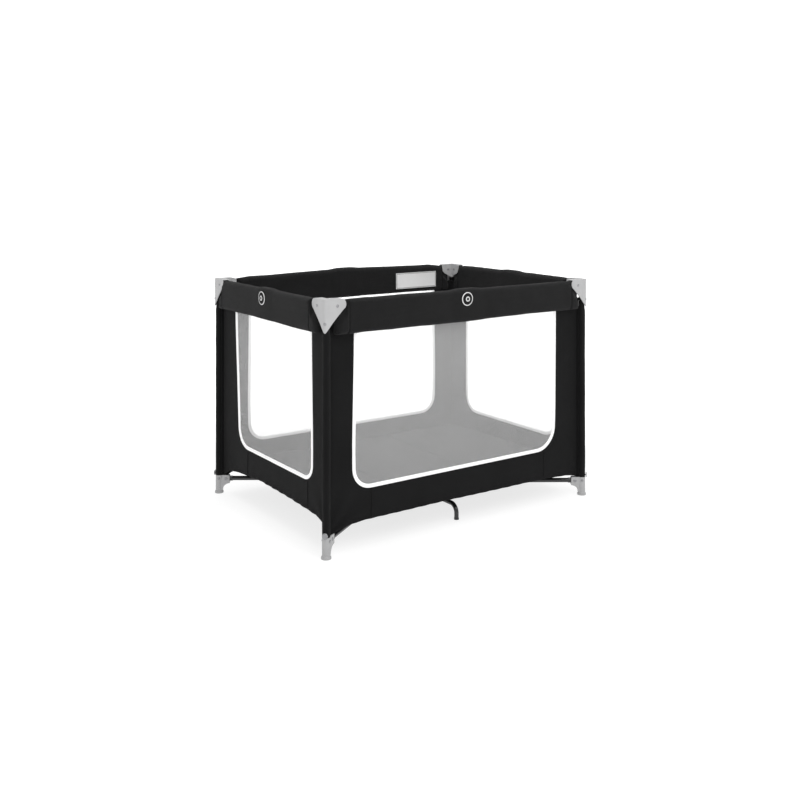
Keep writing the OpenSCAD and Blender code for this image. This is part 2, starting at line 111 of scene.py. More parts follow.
def set_inputs(node, values):
    for name, value in values.items():
        node.inputs[name].default_value = value


def object_coords(tree):
    coords = tree.nodes.new("ShaderNodeTexCoord")
    mapping = tree.nodes.new("ShaderNodeMapping")
    tree.links.new(coords.outputs["Object"], mapping.inputs[0])
    return mapping.outputs[0]


def noise(tree, vector, scale, detail, roughness=0.55):
    node = tree.nodes.new("ShaderNodeTexNoise")
    set_inputs(node, {"Scale": scale, "Detail": detail, "Roughness": roughness})
    tree.links.new(vector, node.inputs["Vector"])
    return node.outputs["Fac"]


def math_node(tree, operation, *operands):
    node = tree.nodes.new("ShaderNodeMath")
    node.operation = operation
    for socket, operand in zip(node.inputs, operands):
        if isinstance(operand, (int, float)):
            socket.default_value = operand
        else:
            tree.links.new(operand, socket)
    return node.outputs[0]


def two_tone(tree, bsdf, factor, dark, light, start, stop):
    """Base colour from dark at factor `start` to light at `stop`."""
    node = tree.nodes.new("ShaderNodeValToRGB")
    tree.links.new(factor, node.inputs[0])
    stops = ((start, dark), (stop, light))
    for element, (position, color) in zip(node.color_ramp.elements, stops):
        element.position = position
        element.color = (*color, 1)
    tree.links.new(node.outputs[0], bsdf.inputs["Base Color"])


def uneven_roughness(tree, bsdf, vector, scale, spread, lowest):
    varied = math_node(tree, "MULTIPLY", noise(tree, vector, scale, detail=3.0), spread)
    tree.links.new(math_node(tree, "ADD", varied, lowest), bsdf.inputs["Roughness"])


def bump(tree, bsdf, height, strength, distance):
    node = tree.nodes.new("ShaderNodeBump")
    set_inputs(node, {"Strength": strength, "Distance": distance})
    tree.links.new(height, node.inputs["Height"])
    tree.links.new(node.outputs[0], bsdf.inputs["Normal"])


def weave_height(tree, vector, frequency):
    """Plain weave from crossed sine threads on all three axes, to work on any face."""
    split = tree.nodes.new("ShaderNodeSeparateXYZ")
    tree.links.new(vector, split.inputs[0])
    threads = [math_node(tree, "SINE", math_node(tree, "MULTIPLY", output, frequency))
               for output in split.outputs]
    crossed = math_node(tree, "ADD", threads[0], threads[1])
    return math_node(tree, "MULTIPLY", crossed, threads[2])


# ---------------------------------------------------------------- materials
def fabric(name, dark, light, sheen, thread=4200.0, specular=0.25, depth=0.0004, glow=0.0):
    """Woven cloth. thread: weave frequency, radians per metre. depth: bump distance. glow:
    emission strength, a painted light that makes the cloth glow.
    """
    material, tree, bsdf, _ = new_material(name)
    vector = object_coords(tree)
    broad = noise(tree, vector, scale=9.0, detail=3.0)
    fine = noise(tree, vector, scale=900.0, detail=2.0)
    blend = math_node(tree, "ADD", math_node(tree, "MULTIPLY", broad, 0.6),
                      math_node(tree, "MULTIPLY", fine, 0.4))
    two_tone(tree, bsdf, blend, dark, light, start=0.3, stop=0.7)
    set_inputs(bsdf, {"Roughness": 0.85, "Specular IOR Level": specular,
                      "Sheen Weight": sheen, "Sheen Roughness": 0.5,
                      "Emission Color": (1, 1, 1, 1), "Emission Strength": glow})
    height = math_node(tree, "ADD", weave_height(tree, vector, thread),
                       math_node(tree, "MULTIPLY", fine, 0.8))
    bump(tree, bsdf, height, strength=0.6, distance=depth)
    return material


def plastic(name, color, roughness=0.4, grain=0.00012, specular=0.5):
    """Moulded or painted surface. grain: bump distance of the fine texture."""
    material, tree, bsdf, _ = new_material(name)
    vector = object_coords(tree)
    broad = noise(tree, vector, scale=25.0, detail=2.0)
    fine = noise(tree, vector, scale=2600.0, detail=2.0)
    dark = tuple(channel * 0.965 for channel in color)
    light = tuple(channel * 1.03 for channel in color)
    two_tone(tree, bsdf, broad, dark, light, start=0.35, stop=0.65)
    uneven_roughness(tree, bsdf, vector, scale=60.0, spread=0.12, lowest=roughness - 0.06)
    bsdf.inputs["Specular IOR Level"].default_value = specular
    bump(tree, bsdf, fine, strength=0.5, distance=grain)
    return material


def metal(name, color, roughness):
    material, tree, bsdf, _ = new_material(name)
    vector = object_coords(tree)
    fine = noise(tree, vector, scale=700.0, detail=3.0)
    dark = tuple(channel * 0.9 for channel in color)
    two_tone(tree, bsdf, fine, dark, color, start=0.3, stop=0.7)
    bsdf.inputs["Metallic"].default_value = 1.0
    uneven_roughness(tree, bsdf, vector, scale=120.0, spread=0.15, lowest=roughness - 0.07)
    bump(tree, bsdf, fine, strength=0.4, distance=0.0001)
    return material


def knit_net(name):
    """Open net of white yarn, whose holes close up at a grazing view."""
    cover = 0.215              # share of the net that is yarn
    graze = 0.10               # cover added at a grazing view
    frequency = 2 * math.pi / 0.0046
    slant = 0.577              # rise of the thread lines
    hole_edge = 0.16 * cover / 0.34

    material, tree, bsdf, output = new_material(name)
    vector = object_coords(tree)
    split = tree.nodes.new("ShaderNodeSeparateXYZ")
    tree.links.new(vector, split.inputs[0])
    along = math_node(tree, "ADD", split.outputs[0], split.outputs[1])
    lines = []
    for operation in ("ADD", "SUBTRACT"):
        rise = math_node(tree, "MULTIPLY", split.outputs[2], slant)
        place = math_node(tree, operation, along, rise)
        lines.append(math_node(tree, "SINE", math_node(tree, "MULTIPLY", place, frequency)))
    # high in the holes, low on the yarn
    hole = math_node(tree, "ABSOLUTE", math_node(tree, "MULTIPLY", *lines))
    yarn = math_node(tree, "LESS_THAN", hole, hole_edge)
    facing = tree.nodes.new("ShaderNodeLayerWeight")
    facing.inputs["Blend"].default_value = 0.35
    grazing = math_node(tree, "MULTIPLY", facing.outputs["Facing"], graze)
    even = math_node(tree, "ADD", cover, grazing)
    opacity = math_node(tree, "ADD", math_node(tree, "MULTIPLY", yarn, 0.55),
                        math_node(tree, "MULTIPLY", even, 0.40))
    # small uneven patches where the knit bunches
    patches = noise(tree, vector, scale=300.0, detail=1.5, roughness=0.5)
    bunching = math_node(tree, "MULTIPLY", math_node(tree, "SUBTRACT", patches, 0.5), 0.22)
    opacity = math_node(tree, "ADD", opacity, bunching)

    set_inputs(bsdf, {"Base Color": (0.86, 0.86, 0.86, 1), "Roughness": 0.7,
                      "Sheen Weight": 0.2})
    translucent = tree.nodes.new("ShaderNodeBsdfTranslucent")
    translucent.inputs["Color"].default_value = (0.9, 0.9, 0.9, 1)
    thread = tree.nodes.new("ShaderNodeMixShader")
    thread.inputs[0].default_value = 0.35      # share of translucency in the yarn
    tree.links.new(bsdf.outputs[0], thread.inputs[1])
    tree.links.new(translucent.outputs[0], thread.inputs[2])
    clear = tree.nodes.new("ShaderNodeBsdfTransparent")
    net = tree.nodes.new("ShaderNodeMixShader")
    tree.links.new(opacity, net.inputs[0])
    tree.links.new(clear.outputs[0], net.inputs[1])
    tree.links.new(thread.outputs[0], net.inputs[2])
    tree.links.new(net.outputs[0], output.inputs[0])
    bump(tree, bsdf, hole, strength=0.3, distance=0.0002)
    return material


WALL_CLOTH = fabric("woven_black", dark=(0.0050, 0.0050, 0.0052),
                    light=(0.0081, 0.0081, 0.0084), sheen=0.035, specular=0.10)
RAIL_CLOTH = fabric("woven_black_padded", dark=(0.0062, 0.0062, 0.0064),
                    light=(0.0098, 0.0098, 0.0101), thread=4600.0, sheen=0.05,
                    specular=0.12)
MATTRESS_CLOTH = fabric("pad_cover", dark=(0.0060, 0.0060, 0.0062),
                        light=(0.0105, 0.0105, 0.011), thread=3600.0, sheen=0.08,
                        specular=0.12)
# the white binding glows a little: painted light that brightens it
BINDING = fabric("white_binding", dark=(0.78,) * 3, light=(0.88,) * 3, thread=5200.0,
                 sheen=0.1, depth=0.0003, glow=0.24)
WEBBING = fabric("webbing_black", dark=(0.006,) * 3, light=(0.012,) * 3, thread=2600.0,
                 sheen=0.1, depth=0.0006)
PRINT = fabric("print_white", dark=(0.66,) * 3, light=(0.78,) * 3, thread=4600.0,
               sheen=0.0, depth=0.0002)
LABEL = fabric("label_pale", dark=(0.66,) * 3, light=(0.74,) * 3, thread=5200.0,
               sheen=0.05, depth=0.0002)
NET = knit_net("knit_net")
GREY = plastic("moulded_grey", (0.385, 0.385, 0.388), roughness=0.45, specular=0.4)
# a lighter copy of the same moulded grey: painted light on the inner cap pieces
LIT_INNER_GREY = plastic("moulded_grey_inner_lit", (0.40, 0.40, 0.403), roughness=0.45,
                     specular=0.4)
BLACK = plastic("moulded_black", (0.018, 0.018, 0.019))
GLOSS_TUBE = plastic("gloss_black_tube", (0.008, 0.008, 0.009), roughness=0.18,
                     grain=0.00003, specular=0.6)
SATIN_TUBE = plastic("satin_tube", (0.03, 0.03, 0.032), roughness=0.35, grain=0.00004)
RIVET = metal("zinc_rivet", (0.30, 0.30, 0.31), roughness=0.38)


# ---------------------------------------------------------------- mesh helpers
def add_mesh(name, shape, material):
    """Object from (vertices, faces), smooth with sharp edges above 40 degrees."""
    verts, faces = shape
    mesh = bpy.data.meshes.new(name)
    mesh.from_pydata([tuple(map(float, vert)) for vert in verts], [], faces)
    bm = bmesh.new()
    bm.from_mesh(mesh)
    bmesh.ops.remove_doubles(bm, verts=bm.verts, dist=1e-6)
    bmesh.ops.recalc_face_normals(bm, faces=bm.faces)
    bm.to_mesh(mesh)
    bm.free()
    mesh.materials.append(material)
    obj = bpy.data.objects.new(name, mesh)
    bpy.context.scene.collection.objects.link(obj)
    for polygon in mesh.polygons:
        polygon.use_smooth = True
    mesh.set_sharp_from_angle(angle=math.radians(40))
    return obj


def attach(obj, ride, squash=None, replaces=None):
    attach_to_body(obj, ride)
    if squash:
        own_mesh(obj)
    if replaces:
        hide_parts(replaces)


def side_point(side, along, out, z):
    """Points from distance along a side, outwards from its post axes, and height."""
    spec = SIDES[side]
    along, out, z = np.broadcast_arrays(*(np.asarray(v, float) for v in (along, out, z)))
    across = spec["out"] * (spec["plane"] + out)
    order = (along, across, z) if spec["axis"][0] else (across, along, z)
    return np.stack(order, -1)


def slab(front, back, closed=False):
    """Closed solid between two (columns, rows, 3) grids; closed joins last to first."""
    columns, rows = front.shape[:2]
    verts = np.concatenate([front.reshape(-1, 3), back.reshape(-1, 3)])
    off = columns * rows
    faces = []
    for i in range(columns if closed else columns - 1):
        here, there = i * rows, (i + 1) % columns * rows
        for k in range(rows - 1):
            a, b, c, d = here + k, there + k, there + k + 1, here + k + 1
            faces.append((a, b, c, d))
            faces.append((off + a, off + d, off + c, off + b))
        faces.append((here, off + here, off + there, there))
        a, b = here + rows - 1, there + rows - 1
        faces.append((a, b, off + b, off + a))
    if not closed:
        last = (columns - 1) * rows
        for k in range(rows - 1):
            faces.append((k, k + 1, off + k + 1, off + k))
            a, b = last + k, last + k + 1
            faces.append((a, off + a, off + b, b))
    return verts, faces


def slab_from_rows(front_rows, back_rows, closed=False):
    """The same solid, from lists of rows that each run across all the columns."""
    front, back = (np.array(rows).transpose(1, 0, 2) for rows in (front_rows, back_rows))
    return slab(front, back, closed)


def tube(rings):
    """Closed loops (stations, points, 3) along a path, each end capped with a fan."""
    stations, count = rings.shape[:2]
    verts = list(rings.reshape(-1, 3))
    faces = []
    for i in range(stations - 1):
        for k in range(count):
            following = (k + 1) % count
            faces.append((i * count + k, i * count + following,
                          (i + 1) * count + following, (i + 1) * count + k))
    for i in (0, stations - 1):
        centre = len(verts)
        verts.append(rings[i].mean(0))
        for k in range(count):
            a, b = i * count + k, i * count + (k + 1) % count
            faces.append((b, a, centre) if i == 0 else (a, b, centre))
    return np.array(verts), faces


def join(shapes):
    all_verts, all_faces, offset = [], [], 0
    for verts, faces in shapes:
        all_verts.append(verts)
        all_faces += [tuple(index + offset for index in face) for face in faces]
        offset += len(verts)
    return np.concatenate(all_verts), all_faces


def waves(seed, count, lowest, highest):
    """Smooth random height over a plane; lowest and highest bound the frequencies."""
    random = np.random.RandomState(seed)
    terms = [(random.uniform(lowest, highest), random.uniform(0, math.pi),
              random.uniform(0, 6.28), random.uniform(0.5, 1)) for _ in range(count)]

    def height(a, b):
        total = 0
        for frequency, angle, phase, weight in terms:
            across = a * math.cos(angle) + b * math.sin(angle)
            wave = np.sin(frequency * across * 2 * math.pi + phase)
            total = total + weight / (frequency ** 0.5) * wave
        return total / 1.2
    return height


def fade(value, start, length):
    """0 up to start, rising straight to 1 over length."""
    return np.clip((value - start) / length, 0, 1)


def smoothstep(t):
    return t * t * (3 - 2 * t)


def path_normals(tangents):
    """Unit normals in the plane of a path, from its unscaled tangents."""
    tangents = tangents / np.linalg.norm(tangents, axis=1)[:, None]
    return np.stack([-tangents[:, 1], tangents[:, 0]], -1)


def circle(points):
    return np.linspace(0, 2 * math.pi, points, endpoint=False)


# ---------------------------------------------------------------- wall shapes
# points down each upright edge, round each lower corner and along the sill
JAMB, CORNER, SILL = 46, 18, 64


def hem(side, along):
    stations, heights = SIDES[side]["hem"]
    return np.interp(along + SIDES[side]["half"], stations, heights)


def window_edge(side, z, end):
    """Distance along the side of the window's upright edge at z; end is -1 or 1."""
    spec = SIDES[side]
    z = np.asarray(z, float)
    top, bottom = spec["low_margin"] if end < 0 else spec["high_margin"]
    rise = fade(z, 0.22, 0.40)
    rise = smoothstep(rise) * 0.5 + rise * 0.5
    margin = bottom + (top - bottom) * rise + 0.003 * fade(0.30 - z, 0, 0.12)
    return end * (spec["half"] - margin)


def window_curve(side, grow=0.0):
    """Window edge as a U from the low end's top, down, along and up again."""
    spec = SIDES[side]
    sill = spec["sill"] - grow
    r0, r1 = (radius + grow for radius in spec["radii"])
    z0, z1 = sill + r0, sill + r1
    low = float(window_edge(side, z0, -1)) - grow
    high = float(window_edge(side, z1, 1)) + grow
    points = []
    for z in np.linspace(WINDOW_TOP, z0, JAMB, endpoint=False):
        points.append((float(window_edge(side, z, -1)) - grow, z))
    for a in np.linspace(0, math.pi / 2, CORNER, endpoint=False):
        points.append((low + r0 - r0 * math.cos(a), z0 - r0 * math.sin(a)))
    for along in np.linspace(low + r0, high - r1, SILL, endpoint=False):
        points.append((along, sill))
    for a in np.linspace(math.pi / 2, 0, CORNER, endpoint=False):
        points.append((high - r1 + r1 * math.cos(a), z1 - r1 * math.sin(a)))
    for z in np.linspace(z1, WINDOW_TOP, JAMB):
        points.append((float(window_edge(side, z, 1)) + grow, z))
    return np.array(points)


def wall_outline(side, inner):
    """Outer edge of the wall, one point for each point of the window curve."""
    edge = SIDES[side]["half"] - 0.003
    hem_low, hem_high = float(hem(side, -edge)), float(hem(side, edge))
    sill_start = JAMB + CORNER
    sill_end = sill_start + SILL
    low_z, high_z = inner[JAMB][1], inner[sill_end + CORNER][1]
    low_x, high_x = inner[sill_start][0], inner[sill_end][0]
    outer = [(-edge, z) for z in inner[:JAMB, 1]]
    for k in range(CORNER):
        t = k / CORNER
        if t <= 0.5:
            outer.append((-edge, low_z + (hem_low - low_z) * (t / 0.5)))
        else:
            x = -edge + (low_x + edge) * ((t - 0.5) / 0.5)
            outer.append((x, float(hem(side, x))))
    outer += [(x, float(hem(side, x))) for x in inner[sill_start:sill_end, 0]]
    for k in range(CORNER):
        t = k / CORNER
        if t < 0.5:
            x = high_x + (edge - high_x) * (t / 0.5)
            outer.append((x, float(hem(side, x))))
        else:
            outer.append((edge, hem_high + (high_z - hem_high) * ((t - 0.5) / 0.5)))
    outer += [(edge, z) for z in inner[sill_end + CORNER:, 1]]
    return np.array(outer)


def relief(side, along, z):
    """Soft folds of the wall cloth, radiating from the foot corners and at the hem."""
    half, seed = SIDES[side]["half"], SIDES[side]["fold_seed"]
    broad = waves(seed, 6, 1.5, 6.0)
    fine = waves(seed + 1, 6, 6.0, 16.0)
    height = 0.0011 * broad(along, z * 0.6) + 0.0005 * fine(along, z * 0.5)
    for end in (-1, 1):
        inward = (along - end * (half - 0.01)) * -end
        up = z - 0.055
        radius = np.hypot(inward, up) + 1e-6
        rays = np.sin(np.arctan2(up, inward) * 11 + seed)
        height = height + 0.0022 * rays * np.exp(-radius / 0.09) * fade(radius, 0, 0.03)
    puckers = np.sin(along * 2 * math.pi / 0.047 + seed)
    above_hem = np.clip(z - hem(side, along), 0, 1)
    height = height + 0.0012 * puckers * np.exp(-above_hem / 0.012)
    height = height * fade(WINDOW_TOP + 0.01 - z, 0, 0.06)
    # flat at the posts
    return height, fade(half - np.abs(along), 0, 0.04)


def wall(side):
    inner = window_curve(side)
    outer = wall_outline(side, inner)
    t = np.linspace(0, 1, 30)[None, :, None]
    grid = inner[:, None, :] * (1 - t) + outer[:, None, :] * t
    along, z = grid[..., 0], grid[..., 1]
    height, soft = relief(side, along, z)
    height = height * fade(t[..., 0], 0, 0.15) * soft
    # the rolled hem is slightly thicker
    near_hem = np.clip(1 - (z - hem(side, along)) / 0.010, 0, 1)
    between = np.abs(along) < SIDES[side]["half"] - 0.01
    thick = 0.0009 + 0.0010 * np.clip(near_hem * 3, 0, 1) * between
    return slab(side_point(side, along, WALL_OUT + height + thick, z),
                side_point(side, along, WALL_OUT + height - thick, z))


def window_binding(side):
    curve = window_curve(side, grow=-0.0045)
    length = np.r_[0, np.cumsum(np.hypot(*np.diff(curve, axis=0).T))]
    even = np.linspace(0, length[-1], 260)
    curve = np.stack([np.interp(even, length, curve[:, i]) for i in (0, 1)], -1)
    normals = path_normals(np.gradient(curve, axis=0))
    cos, sin = np.cos(circle(16)), np.sin(circle(16))
    uneven = waves(71, 6, 3, 25)
    rings = []
    for at, centre, normal in zip(even, curve, normals):
        half_width = 0.0056 + 0.0002 * float(uneven(at, 0.0))
        across = half_width * np.sign(cos) * np.abs(cos) ** 0.7
        out = 0.0024 * np.sign(sin) * np.abs(sin) ** 0.8
        rings.append(side_point(side, centre[0] + normal[0] * across,
                                WALL_OUT + out + 0.0003 * float(uneven(at, 0.3)),
                                centre[1] + normal[1] * across))
    return tube(np.array(rings))


def window_net(side):
    sill = SIDES[side]["sill"]
    r0, r1 = SIDES[side]["radii"]
    low = float(window_edge(side, sill + r0, -1))
    high = float(window_edge(side, sill + r1, 1))
    spread = np.linspace(-1, 1, 110)
    # denser columns near the rounded corners
    spread = np.sign(spread) * (1 - (1 - np.abs(spread)) ** 1.5)
    base = (low + high) / 2 + spread * ((high - low) / 2 - 0.0002)
    bottom = sill
    for radius, into in ((r0, low + r0 - base), (r1, base - (high - r1))):
        into = np.clip(into, 0, radius)
        drop = np.sqrt(np.maximum(radius * radius - into * into, 0))
        bottom = bottom + np.where(into > 0, radius - drop, 0)
    t = np.linspace(0, 1, 60)
    z = bottom[:, None] + (WINDOW_TOP - bottom[:, None]) * t[None, :]
    share = ((base - low) / (high - low))[:, None]
    shift_low = np.minimum(window_edge(side, z, -1) - low, 0.02)
    shift_high = window_edge(side, z, 1) - high
    along = base[:, None] + shift_low * (1 - share) + shift_high * share
    from_edge = np.minimum(base - low, high - base)
    held = fade(from_edge, 0, 0.03)[:, None] * (fade(t, 0, 0.08) * fade(1 - t, 0, 0.1))
    height = 0.0022 * waves(41, 6, 0.8, 4.0)(along, z) * held
    return slab(side_point(side, along, WALL_OUT + height + 0.0003, z),
                side_point(side, along, WALL_OUT + height - 0.0003, z))


def wall_seams(side):
    """Raised upright seams from the hem to the window."""
    shapes = []
    for place in SIDES[side]["seams"]:
        z = np.linspace(float(hem(side, place)) + 0.001, SIDES[side]["sill"] - 0.004, 40)
        z = z[:, None]
        across = np.linspace(-1, 1, 7)[None, :]
        along = place + 0.0018 * across + 0.0006 * np.sin(z * 60)
        height, soft = relief(side, along, np.broadcast_to(z, along.shape))
        height = height * soft
        stitches = 0.75 + 0.25 * np.sin(z * 2 * math.pi / 0.005)
        lift = 0.0014 + 0.0014 * (1 - across ** 2) * stitches
        shapes.append(slab(side_point(side, along, WALL_OUT + height + lift, z),
                           side_point(side, along, WALL_OUT + height + 0.0001, z)))
    return join(shapes)


# ---------------------------------------------------------------- padded rail covers
# Lower edge of the corner cap's wing: distance from the post axis, and height there.
WING_AT = [0.0, 0.004, 0.0135, 0.029, 0.048, 0.055, 0.058, 0.062]
WING_Z = [0.625, 0.633, 0.646, 0.6635, 0.683, 0.688, 0.694, 0.720]
# Extra height of the rear pad: place along the side, and rise there.
REAR_RISE_AT = [-0.45, -0.3, -0.14, -0.02, 0.10, 0.22, 0.33, 0.43]
REAR_RISE = [0.0035, 0.0042, 0.0085, 0.0105, 0.0105, 0.0075, 0.0057, 0.0060]
PAD_POST_GAP, PAD_MID_GAP = 0.0640, 0.040   # rail pad ends, from post axis and middle
END_PAD = (0.0250, 0.0655)                  # ends of a corner pad, from the post axis
LATCH_PAD_HALF = 0.066
RAIL_FOLD = ("fold", (0, 0, 1), (0, 0, FOLD_Z), 0.36)


def box_section(half_width, top, bottom, top_radius=0.0150, bottom_radius=0.0120):
    """Rounded box as (out, z) points, with extra points down both faces."""
    arc, face = 11, 14     # points in each corner and on each face
    top_x, top_z = half_width - top_radius, top - top_radius
    low_x, low_z = half_width - bottom_radius, bottom + bottom_radius
    points = []
    for x, z, radius, start in ((top_x, top_z, top_radius, 0),
                                (-top_x, top_z, top_radius, 90),
                                (-low_x, low_z, bottom_radius, 180),
                                (low_x, low_z, bottom_radius, 270)):
        for degrees in np.linspace(start, start + 90, arc):
            a = math.radians(degrees)
            points.append((x + radius * math.cos(a), z + radius * math.sin(a)))

    def between(start, stop):
        start, stop = np.array(start), np.array(stop)
        return [tuple(start + (stop - start) * t) for t in np.linspace(0, 1, face + 2)[1:-1]]

    inner_face = between(points[2 * arc - 1], points[2 * arc])
    outer_face = between(points[-1], points[0])
    return np.array(points[:2 * arc] + inner_face + points[2 * arc:] + outer_face)


def cover_section(side, along, bulge):
    half = SIDES[side]["half"]
    from_post = half - abs(along)
    rise, low, arch = 0.0, 0.6250, 0.0025
    if side == "front":
        low = 0.6225 + 0.0030 * fade(along, -0.02, 0.2)
        arch = 0.0005
    elif side == "rear":
        rise = float(np.interp(along, REAR_RISE_AT, REAR_RISE))
    elif side == "left":
        low = 0.6250 - 0.0030 * math.exp(-((along + 0.18) / 0.10) ** 2)
    else:
        rise = 0.0022
    top = 0.7202 + bulge + rise * fade(from_post, 0.066, 0.05)
    bottom = low + arch * (1 - (abs(along) / half) ** 2)
    half_width = 0.0198 + bulge * 0.4
    section = box_section(half_width, top, bottom)
    # pressed flat under the cap wing
    if from_post < 0.085:
        under = fade(np.interp(from_post, WING_AT, WING_Z) - section[:, 1], 0, 0.020)
        clear = fade(from_post, 0.0600, 0.014)
        limit = 0.0100 + (half_width - 0.0100) * np.maximum(smoothstep(under),
                                                            smoothstep(clear))
        if from_post < 0.045:
            limit = limit * math.sqrt(max(0.14, 1 - ((0.045 - from_post) / 0.0215) ** 2))
        section[:, 0] = np.clip(section[:, 0], -limit, limit)
        section[:, 1] = np.minimum(section[:, 1], 0.7185 + (top - 0.7185) * clear)
    return section


def rail_cover(side, start, stop, seed, sections=110, bulge=0.0, grow=0.0, closing=0.003):
    """Pad from start to stop; its ends draw in over the length `closing`."""
    broad = waves(seed, 6, 4, 18)
    fine = waves(seed + 9, 6, 14, 40)
    rings = []
    for along in np.linspace(start, stop, sections):
        from_end = min(along - start, stop - along)
        swell = bulge * math.sin(min(1, from_end / 0.045) * math.pi / 2) ** 2
        section = cover_section(side, along, swell)
        centre = section.mean(0)
        if from_end < closing:
            draw_in = 0.86 + 0.14 * math.sqrt(from_end / closing)
            section = centre + (section - centre) * draw_in
        spoke = section - centre
        radius = np.hypot(spoke[:, 0], spoke[:, 1])
        angle = np.arctan2(spoke[:, 1], spoke[:, 0])
        from_post = SIDES[side]["half"] - abs(along)
        # creases, none on a bulged pad, then gathers beside the cap
        crease = 0.0 if bulge else fade(from_post, 0.064, 0.04) * fade(abs(along), 0.05, 0.05)
        lift = crease * (0.0008 * broad(along, angle / 6.28)
                         + 0.0004 * fine(along, angle / 4.0))
        gather = math.exp(-max(0, from_post - 0.070) / 0.025) * fade(from_post, 0.064, 0.006)
        lift = lift + 0.0008 * np.sin(angle * 9 + seed) * gather
        lift = lift + grow * min(1.0, 0.25 + from_end / 0.02)
        section = section + spoke / radius[:, None] * lift[:, None]
        rings.append(side_point(side, along, section[:, 0], section[:, 1]))
    return tube(np.array(rings))


def build_walls(side):
    spec = SIDES[side]
    for name, shape, material, slot, replaces in (
            ("wall_cloth_", wall, WALL_CLOTH, "wall", "wall_" + side),
            ("window_binding_", window_binding, BINDING, "wall", None),
            ("window_net_", window_net, NET, "mesh", "mesh_" + spec["cad"]),
            ("wall_seams_", wall_seams, WALL_CLOTH, "wall", None)):
        obj = add_mesh(name + side, shape(side), material)
        attach(obj, "post_" + spec["posts"][0], spec["wall_fold"], replaces)


def build_rail_pads(side):
    spec = SIDES[side]
    half, seed = spec["half"], spec["rail_seed"]
    spans = ((-half + PAD_POST_GAP, -PAD_MID_GAP), (PAD_MID_GAP, half - PAD_POST_GAP))
    for i, span in enumerate(spans):
        obj = add_mesh(f"rail_pad_{side}_{i}", rail_cover(side, *span, seed + i), RAIL_CLOTH)
        attach(obj, "rail_" + spec["rails"][i], RAIL_FOLD,
               replaces="cover_" + spec["cad"])
    near, far = END_PAD
    for i, span in enumerate(((-half + near, -half + far), (half - far, half - near))):
        shape = rail_cover(side, *span, seed + 20 + i, sections=26, grow=0.00015,
                           closing=0.006)
        obj = add_mesh(f"rail_pad_end_{side}_{i}", shape, RAIL_CLOTH)
        attach(obj, "post_" + spec["posts"][i], RAIL_FOLD)
    shape = rail_cover(side, -LATCH_PAD_HALF, LATCH_PAD_HALF, seed + 3, sections=60,
                       bulge=0.0030, grow=0.0007, closing=0.002)
    obj = add_mesh("latch_pad_" + side, shape, RAIL_CLOTH)
    attach(obj, "latch_" + side, ("fold", spec["axis"], (0, 0, FOLD_Z), 0.50))


for side in SIDES:
    build_walls(side)
    build_rail_pads(side)


# ---------------------------------------------------------------- press marks
# A domed patch in the middle of each rail, printed with two rings.
MARK_Z = 0.6935
PATCH_OUT = 0.0212         # foot of the dome, outwards from the post axes
PATCH_RADIUS, PATCH_HEIGHT = 0.0255, 0.0040
MARK_RINGS = ((0.0194, 0.0026), (0.0062, 0.0030))      # radius, line width


def dome_height(t):
    return PATCH_HEIGHT * np.cos(t * math.pi / 2) ** 0.8


def press_patch(side):
    centre = SIDES[side]["mark_at"]
    angle = circle(48)
    front, back = [], []
    for t in np.arange(11) / 10:
        along = centre + PATCH_RADIUS * t * np.cos(angle)
        z = MARK_Z + PATCH_RADIUS * t * np.sin(angle)
        front.append(side_point(side, along, PATCH_OUT + dome_height(t), z))
        back.append(side_point(side, along, PATCH_OUT - 0.0012, z))
    return slab_from_rows(front, back, closed=True)


def ribbon(side, path, width, surface, thickness=0.0004, closed=False):
    """Thin strip along (along, z) points, lying on surface(along, z)."""
    path = np.array(path, float)
    if closed:
        tangents = np.roll(path, -1, 0) - np.roll(path, 1, 0)
    else:
        tangents = np.gradient(path, axis=0)
    normals = path_normals(tangents)
    front, back = [], []
    for k in (-1, -0.5, 0, 0.5, 1):
        along, z = (path + normals * width * k / 2).T
        out = surface(along, z)
        front.append(side_point(side, along, out + thickness, z))
        back.append(side_point(side, along, out - 0.0002, z))
    return slab_from_rows(front, back, closed)


def press_mark(side):
    centre = SIDES[side]["mark_at"]

    def dome_surface(along, z):
        t = np.clip(np.hypot(along - centre, z - MARK_Z) / PATCH_RADIUS, 0, 1)
        return PATCH_OUT + dome_height(t)

    angle = circle(72)
    rings = []
    for radius, width in MARK_RINGS:
        path = np.stack([centre + radius * np.cos(angle), MARK_Z + radius * np.sin(angle)], -1)
        rings.append(ribbon(side, path, width, dome_surface, closed=True))
    return join(rings)


for side, spec in SIDES.items():
    cover_point = tuple(float(v) for v in side_point(side, 0.0, 0.0216, MARK_Z))
    press = (f"button_{side}_press", spec["across"], cover_point, 0.4)
    obj = add_mesh("press_patch_" + side, press_patch(side), RAIL_CLOTH)
    attach(obj, "latch_" + side, press)
    obj = add_mesh("press_mark_" + side, press_mark(side), PRINT)
    attach(obj, "latch_" + side, press)

# ---------------------------------------------------------------- label
# Blank, sewn on the inner face of the rear rail pad.
LABEL_X = (0.214, 0.400)
LABEL_Z = (0.643, 0.702)
STITCH_INSET = 0.003


def label():
    x = np.linspace(*LABEL_X, 40)[:, None] * np.ones((1, 14))
    z = np.linspace(*LABEL_Z, 14)[None, :] * np.ones((40, 1))
    out = -0.0212 - 0.0004 - 0.0005 * (waves(5, 5, 3, 12)(x, z) + 1) * 0.5
    return slab(side_point("rear", x, out - 0.0005, z), side_point("rear", x, out + 0.0009, z))


def label_stitch():
    left, right = LABEL_X[0] + STITCH_INSET, LABEL_X[1] - STITCH_INSET
    low, high = LABEL_Z[0] + STITCH_INSET, LABEL_Z[1] - STITCH_INSET
    paths = [[(x, z) for x in np.linspace(left, right, 30)] for z in (low, high)]
    paths += [[(x, z) for z in np.linspace(low, high, 12)] for x in (left, right)]
    return join([ribbon("rear", path, 0.0012, lambda x, z: np.full_like(x, -0.0226),
                        thickness=0.0003) for path in paths])


